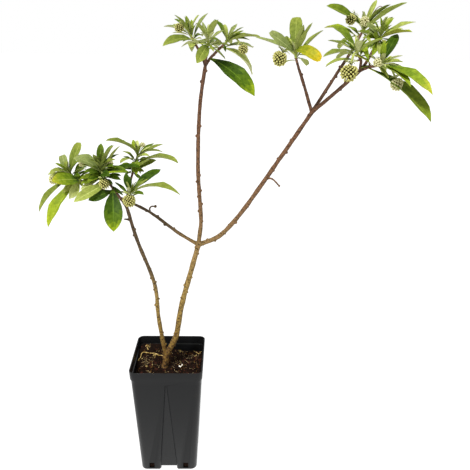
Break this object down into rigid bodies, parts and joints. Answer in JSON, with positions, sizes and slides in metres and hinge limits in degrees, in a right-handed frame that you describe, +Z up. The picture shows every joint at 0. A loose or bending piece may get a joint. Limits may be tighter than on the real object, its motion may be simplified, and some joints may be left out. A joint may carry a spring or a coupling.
{
  "type": "potted paperbush",
  "caption": "Young paperbush shrub with thin forking stems, whorls of long leaves and nodding bud heads, growing in a tall square black nursery pot.",
  "frame": {"origin": "middle of the flat underside of the pot, on the surface that it stands on", "axes": "+Z up, -Y towards the front of the pot, +X towards the higher and wider side of the crown"},
  "size_m": [0.6107, 0.2786, 0.8404],
  "materials": {
    "pot_plastic": "moulded black polypropylene, satin",
    "soil": "loose bark and peat potting mix",
    "bark": "brown bark with raised leaf scars",
    "foliage": "satin green leaves with a paler underside",
    "buds": "silky pale flower buds"
  },
  "bodies": {
    "root": {"bough_left": "bark", "bough_middle": "bark", "bough_right": "bark", "bough_right_inner": "bark", "bough_right_middle": "bark", "bough_right_outer": "bark", "foliage_left_back": "foliage", "foliage_left_front": "foliage", "foliage_left_middle": "foliage", "foliage_left_outer": "foliage", "foliage_middle_front": "foliage", "foliage_middle_left": "foliage", "foliage_middle_right": "foliage", "foliage_right_back": "foliage", "foliage_right_front": "foliage", "foliage_right_inner": "foliage", "foliage_right_outer": "foliage", "foliage_right_top": "foliage", "pot": "pot_plastic", "soil": "soil", "stem_left": "bark", "stem_main": "bark", "trunk": "bark"}
  },
  "joints": []
}
